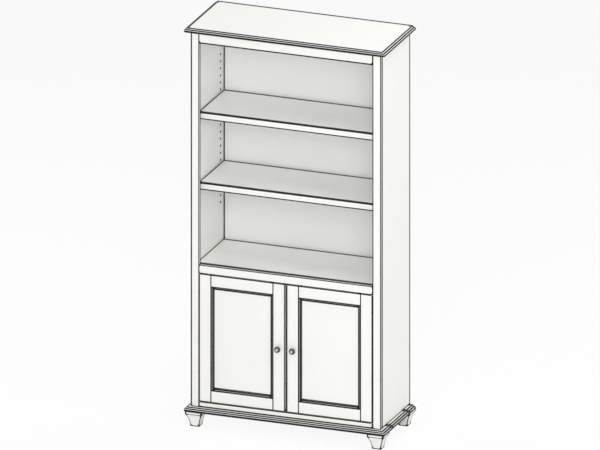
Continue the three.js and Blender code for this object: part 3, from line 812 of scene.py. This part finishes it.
# The section in depth and height, from the back edge's top round the front, carried along the shelf with
# its ends drawn in a little.
def addNosing(node, body, shape):
    low, high = solidBox(node)
    (frontY, lowZ), (backY, highZ) = low[1:], high[1:]
    turn = np.linspace(0, math.pi / 2, shape["steps"])[:, None]
    upper, lower, ease = shape["topRadius"], shape["lowerRadius"], boardShape["ease"]
    fade = boardShape["fadeShare"] * (highZ - lowZ - upper - lower)
    topArc = [frontY + upper, highZ - upper] + upper * np.hstack([-np.sin(turn), np.cos(turn)])
    lowArc = [frontY + lower, lowZ + lower] + lower * np.hstack([-np.cos(turn), -np.sin(turn)])
    section = np.vstack(
        [
            [[backY, highZ - fade], [backY, highZ]],
            topArc,
            [[frontY, highZ - upper - fade], [frontY, lowZ + lower + fade]],
            lowArc,
            [[backY - shape["backReach"], lowZ], [backY, lowZ], [backY, lowZ + fade]],
        ]
    )
    topMark = [*topArc[0], shape["topBroader"]]
    lowMark = [*lowArc[shape["steps"] // 2], shape["lowerBroader"]]
    loopEdge = edgeAlong(section, [[backY, highZ, 0], topMark, lowMark, [backY, lowZ, 0]])
    middle = section.mean(0)
    inward = (section - middle) / np.abs(section - middle).max(0)
    # Rows of [distance from the end, inset, edge value]
    ends = [[0, shape["capReach"], 0], [0, ease, 1], [ease, 0, boardShape["endEdge"]], [lineReach, 0, 0]]
    ends = np.array(ends)
    x = np.concatenate([low[0] + ends[:, 0], high[0] - ends[::-1, 0]])
    inset, value = np.concatenate([ends, ends[::-1]])[:, 1:].T
    loops = section[None] - inward[None] * inset[:, None, None]
    rings = np.concatenate([np.broadcast_to(x[:, None, None], (len(x), len(section), 1)), loops], -1)
    edge = np.maximum(value[:, None], loopEdge[None, :])
    edge[[0, -1]] = 0
    addPiece(pieceName(node), [ringSkin(rings, edge)], body, enamelAlong["X"], [node])


for shelf in ("upper_shelf", "lower_shelf"):
    addNosing(shelf + "_nosing", shelf, nosingShape)
    addBoard(shelf + "_board", shelf, "X", (), {2: boldest}, boardShape["endEdge"])
addBoard("cabinet_shelf", "cabinet_shelf", "X")
print("shelves made")

# Doors: stiles and rails with a quirked ovolo round the panel, rails coped over the stiles' moulding
doorShape = {
    "thickness": 19.05,
    "flat": 53.975,
    "moulding": 9.525,
    "quirk": 0.79,
    "ovolo": 5.56,
    "grooveFront": 7.64,
    "grooveBack": 14.59,
    "hingeRelief": 0.2,
    "seam": 0.15,
    "steps": 10,
    "broader": 0.8,  # how much broader the drawn line is at the quirk, and twice that at the panel
    "panelLap": 8.3,  # how far the panel goes into its grooves
    "panelLine": 1,  # how far inside the groove the panel's own line is widest
    "panelEdge": 1.2,  # edge value there
}


# The member's section from its face back, as [depth, reach, inset, shoulder]. The reach is the distance
# from the outer edge to the sight edge, which drops down the quirk, swells along a quarter circle and
# steps out to the panel groove. The inset is how far the other edges are drawn in. The shoulder is how
# much further the ends of a rail are drawn in, where they step in before the reach steps out, or after it
# has stepped in. After these come the sight edge's value and the others'.
def doorSection(shape):
    turn = np.linspace(0, math.pi / 2, shape["steps"])
    flat, back, ease, radius = shape["flat"], shape["thickness"], boardShape["ease"], shape["ovolo"]
    bottom, sight = shape["quirk"] + radius, flat + shape["moulding"]
    arc = boardShape["arcShare"] * ease
    ovolo = np.outer(np.cos(turn), [-radius, 0, 0, 0]) + np.outer(np.sin(turn), [0, radius, 0, 0])
    ovolo += [bottom, flat, 0, 0]
    front, rear = shape["grooveFront"], shape["grooveBack"]
    section = np.vstack(
        [
            [[0, flat - lineReach, lineReach, 0], [0, flat - ease, ease, 0], [arc, flat - arc, arc, 0]],
            ovolo,
            [[bottom, ovolo[-1, 1], 0, sight - ovolo[-1, 1]], [bottom, sight, 0, 0]],
            [[front, sight, 0, 0], [front, flat, 0, shape["moulding"]], [front, flat, 0, 0]],
            [[rear, flat, 0, 0], [rear, flat, 0, shape["moulding"]], [rear, sight, 0, 0]],
            [[back - ease, sight, 0, 0], [back - arc, sight - arc, arc, 0], [back, sight - ease, ease, 0]],
            [[back, sight - lineReach, lineReach, 0]],
        ]
    )
    quirk, wide = shape["quirk"], shape["broader"]
    marks = [[0, flat - ease, 0], [quirk, flat, wide], [*ovolo[-1, :2], 2 * wide], [back, sight, 0]]
    depth = section[:, 0]
    outer = np.clip(1 - np.minimum(depth, back - depth) / lineReach, 0, 1)
    return np.column_stack([section, edgeAlong(section[:, :2], marks), outer])


# Rings at each depth from the door's face back: a rectangle with eased corners. Its sides are numbered
# from the bottom one on, counter-clockwise as seen from the front.
def doorSkin(face, section, x0, x1, z0, z1, sightSide):
    corners = np.stack([np.stack([x0, x1, x1, x0], -1), np.stack([z0, z0, z1, z1], -1)], -1)
    loops, loopEdge = easedOutline(corners, boardShape["ease"])
    depth = np.broadcast_to((face + section[:, 0])[:, None], loops.shape[:-1])
    point = np.arange(4 * perCorner)
    sight = perCorner * sightSide + perCorner - 1
    onSight = np.isin(point, [sight, (sight + 1) % len(point)])
    edge = np.maximum(np.where(onSight, section[:, 4:5], section[:, 5:6]), loopEdge)
    if sightSide % 2 == 0:
        # A rail: all points on its two ends but the middle one of each corner
        onEnds = ((point - 3) // perCorner % 2 == 1) & (point % perCorner != 2)
        edge = np.where(onEnds, np.minimum(edge, boardShape["jointEdge"]), edge)
    edge[[0, -1]] = 0
    return ringSkin(np.stack([loops[..., 0], depth, loops[..., 1]], -1), edge)


# Rings of the panel from its face out to its edge and round to its back. A drawn line lies on it where it
# comes out of its grooves.
def panelSkin(node, shape):
    low, high = solidBox(node)
    corners = np.array([[low[0], low[2]], [high[0], low[2]], [high[0], high[2]], [low[0], high[2]]])
    lap, ease = shape["panelLap"], boardShape["ease"]
    arc = boardShape["arcShare"] * ease
    # Rows of [inset, depth, edge value]
    front = [[lap + lineReach, 0, 0], [lap - shape["panelLine"], 0, shape["panelEdge"]]]
    front = np.array([*front, [ease, 0, 1], [arc, arc, 1], [0, ease, 1]])
    back = front[::-1] * [1, -1, 1] + [0, high[1] - low[1], 0]
    inset, depth, value = np.concatenate([front, back]).T
    loops, _ = easedOutline(insetOutline(corners, inset), ease)
    y = np.broadcast_to((low[1] + depth)[:, None], loops.shape[:-1])
    return ringSkin(np.stack([loops[..., 0], y, loops[..., 1]], -1), value[:, None])


def addDoor(side, shape):
    low, high = solidBox(side + "_door_hinge_stile")
    meetLow, meetHigh = solidBox(side + "_door_meeting_stile")
    left, right = min(low[0], meetLow[0]), max(high[0], meetHigh[0])
    bottom, top, face = low[2] + shape["hingeRelief"], high[2] - shape["hingeRelief"], low[1]
    section = doorSection(shape)
    reach, inset, shoulder = section[:, 1:4].T
    # The ends of a rail follow the stile's moulding, with a fine seam between them
    end = reach + 2 * inset + shoulder + shape["seam"]
    stiles = ["hinge_stile", "meeting_stile"]
    leftStile, rightStile = stiles if side == "left" else stiles[::-1]
    # The last number of each is its side that faces the panel
    members = {
        leftStile: (left + inset, left + reach, bottom + inset, top - inset, 1),
        rightStile: (right - reach, right - inset, bottom + inset, top - inset, 3),
        "bottom_rail": (left + end, right - end, bottom + inset, bottom + reach, 2),
        "top_rail": (left + end, right - end, top - reach, top - inset, 0),
    }
    for member, spans in members.items():
        node = f"{side}_door_{member}"
        finish = enamelAlong["X" if member.endswith("rail") else "Z"]
        skin = doorSkin(face, section, *spans)
        addPiece(pieceName(node), [skin], side + "_door", finish, [node])
    node = side + "_door_panel"
    addPiece(pieceName(node), [panelSkin(node, shape)], side + "_door", enamelAlong["Z"], [node])


for side in ("left", "right"):
    addDoor(side, doorShape)
print("doors made")

# Knobs: a low base, a waist and a domed head
knobShape = {
    "seat": 0.05,  # gap to the door
    "base": 7.95,  # radius
    "baseHeight": 2,
    "ease": 0.4,
    "waist": 6.35,
    "waistHeight": 5,
    "waistPull": 1,  # from the waist down to the last control point of the flare under it
    "head": 13.5,
    "widest": 14.5,
    "projection": 25,
    "roundShare": 0.5523,  # of a quarter ellipse's radius, from its end to the control point
    "pole": 0.01,  # radius of the face that closes an end
    "waistSteps": 7,
    "headSteps": 14,
    "around": 48,
    # Inside these radii the dome is pale: partly wear, partly a painted highlight
    "polishAndHighlight": (0.2, 0.52),  # radii between which the patina comes back, as shares of the head's
    "sharpAngle": 50,
}


# A cubic curve from the first of four [radius, height] points to the last, at evenly spaced steps.
def cubic(points, steps):
    t = np.linspace(0, 1, steps)[:, None]
    first, second, third, last = np.array(points, float)
    return (1 - t) ** 3 * first + 3 * (1 - t) ** 2 * t * second + 3 * (1 - t) * t**2 * third + t**3 * last


# Circles about an axis that points to the front, one for each [radius, height] of the profile.
def turnedRings(profile, centre, around):
    angle = np.arange(around) / around * 2 * math.pi
    radius, height = profile[:, :1], profile[:, 1:]
    x = centre[0] + radius * np.cos(angle)
    z = centre[2] + radius * np.sin(angle)
    return np.stack([x, centre[1] - height + 0 * x, z], -1)


# The profile from the seat out: a short upright base, a cubic flare in to the waist, a cubic swell out to
# the widest ring, and a quarter ellipse over the dome. The pale spot on the dome, partly wear and partly a
# painted highlight, fades from one radius of the dome to another.
def addKnob(side, shape):
    low, high = solidBox(side + "_knob")
    centre = (low + high) / 2
    centre[1] = solidBox(side + "_door_meeting_stile")[0][1]
    base, baseTop, ease, seat = shape["base"], shape["baseHeight"], shape["ease"], shape["seat"]
    waist, waistTop, head, widest = shape["waist"], shape["waistHeight"], shape["head"], shape["widest"]
    tip, pole, pull, share = shape["projection"], shape["pole"], shape["waistPull"], shape["roundShare"]
    domeSide, domeTop = [head, widest + share * (tip - widest)], [share * head, tip]
    flare = [[base - ease, baseTop], [waist, baseTop], [waist, waistTop - pull], [waist, waistTop]]
    neck = [[waist, waistTop], [waist, widest], [head, waistTop], [head, widest]]
    profile = np.vstack(
        [
            [[pole, seat], [base - ease, seat], [base, ease], [base, baseTop - ease]],
            cubic(flare, shape["waistSteps"]),
            cubic(neck, shape["headSteps"])[1:],
            cubic([[head, widest], domeSide, domeTop, [pole, tip]], shape["headSteps"])[1:],
        ]
    )
    rings = turnedRings(profile, centre, shape["around"])
    brightest, dark = shape["polishAndHighlight"]
    # The dome's middle takes the pale colour: partly wear, partly a painted highlight
    shine = np.clip((dark - profile[:, :1] / head) / (dark - brightest), 0, 1) * (profile[:, 1:] > widest)
    knob = ringSkin(rings, shine)
    replaced, sharp = [side + "_knob"], shape["sharpAngle"]
    addPiece(side + "Knob", [knob], side + "_door", agedPewter, replaced, sharp)


for side in ("left", "right"):
    addKnob(side, knobShape)
print("knobs made")

# Floor, light and background
studio = {
    "floor": "#f4f3f1",
    "floorGlow": 0.9,  # share of the floor that shows as plain white
    "floorReach": 12,  # m from the middle to each edge
    "floorDrop": 0.4,  # mm under the soles
    "worldLevel": 0.27,
    "aimHeight": 0.9,  # m above the floor that the lamps point at
    "lamps": {  # degrees from the front round to the right, degrees up, m away, m across, W
        "front": (20.7, 19.5, 8, 4.8, 228),
        "high": (5, 38, 8, 4.8, 102),
        "right": (75, 25, 5, 2.6, 54),
        "left": (-90, 20, 5, 2.6, 95),
        "back": (150, 40, 5, 3, 70),
        "top": (60, 70, 4.5, 2.6, 43),
    },
}


def addLamp(name, aimHeight, azimuth, elevation, away, size, power):
    outward = directionAt(azimuth, elevation)
    data = bpy.data.lights.new(name, "AREA")
    data.shape = "DISK"
    data.size = size
    data.energy = power
    lamp = bpy.data.objects.new(name, data)
    scene.collection.objects.link(lamp)
    lamp.location = Vector((0, 0, aimHeight)) + away * outward
    lamp.rotation_mode = "QUATERNION"
    lamp.rotation_quaternion = outward.to_track_quat("Z", "Y")


# One where a ray comes from the camera, a mirror or clear glass, and zero for the light on the object.
def seenRay(tree):
    path = addNode(tree, "ShaderNodeLightPath").outputs
    seen = path["Is Camera Ray"]
    for kind in ("Is Glossy Ray", "Is Transmission Ray"):
        both = {0: seen, 1: path[kind]}
        seen = addNode(tree, "ShaderNodeMath", None, both, operation="MAXIMUM").outputs[0]
    return seen


def addStudio(setup):
    world = bpy.data.worlds.new("studioWorld")
    world.use_nodes = True
    tree = world.node_tree
    tree.nodes.clear()
    level = addNode(
        tree, "ShaderNodeMapRange", {"To Min": setup["worldLevel"], "To Max": 1.0}, {"Value": seenRay(tree)}
    )
    sky = addNode(tree, "ShaderNodeBackground", {"Color": (1, 1, 1, 1)}, {"Strength": level.outputs[0]})
    addNode(tree, "ShaderNodeOutputWorld", None, {"Surface": sky.outputs[0]})
    scene.world = world

    mesh = bpy.data.meshes.new("floor")
    reach, z = setup["floorReach"], -setup["floorDrop"] * mm
    corners = [(-reach, -reach, z), (reach, -reach, z), (reach, reach, z), (-reach, reach, z)]
    mesh.from_pydata(corners, [], [(0, 1, 2, 3)])
    floor = bpy.data.objects.new("floor", mesh)
    scene.collection.objects.link(floor)
    material, tree = newMaterial("paperFloor")
    seen = seenRay(tree)
    share = addNode(tree, "ShaderNodeMath", {1: setup["floorGlow"]}, {0: seen}, operation="MULTIPLY")
    matt = addNode(tree, "ShaderNodeBsdfDiffuse", {"Color": toLinear(setup["floor"])})
    glow = addNode(tree, "ShaderNodeEmission", {"Color": (1, 1, 1, 1), "Strength": 1.0})
    mixed = addNode(
        tree, "ShaderNodeMixShader", None, {0: share.outputs[0], 1: matt.outputs[0], 2: glow.outputs[0]}
    )
    addNode(tree, "ShaderNodeOutputMaterial", None, {"Surface": mixed.outputs[0]})
    mesh.materials.append(material)

    for name, lamp in setup["lamps"].items():
        addLamp(name, setup["aimHeight"], *lamp)


addStudio(studio)
print("studio made")
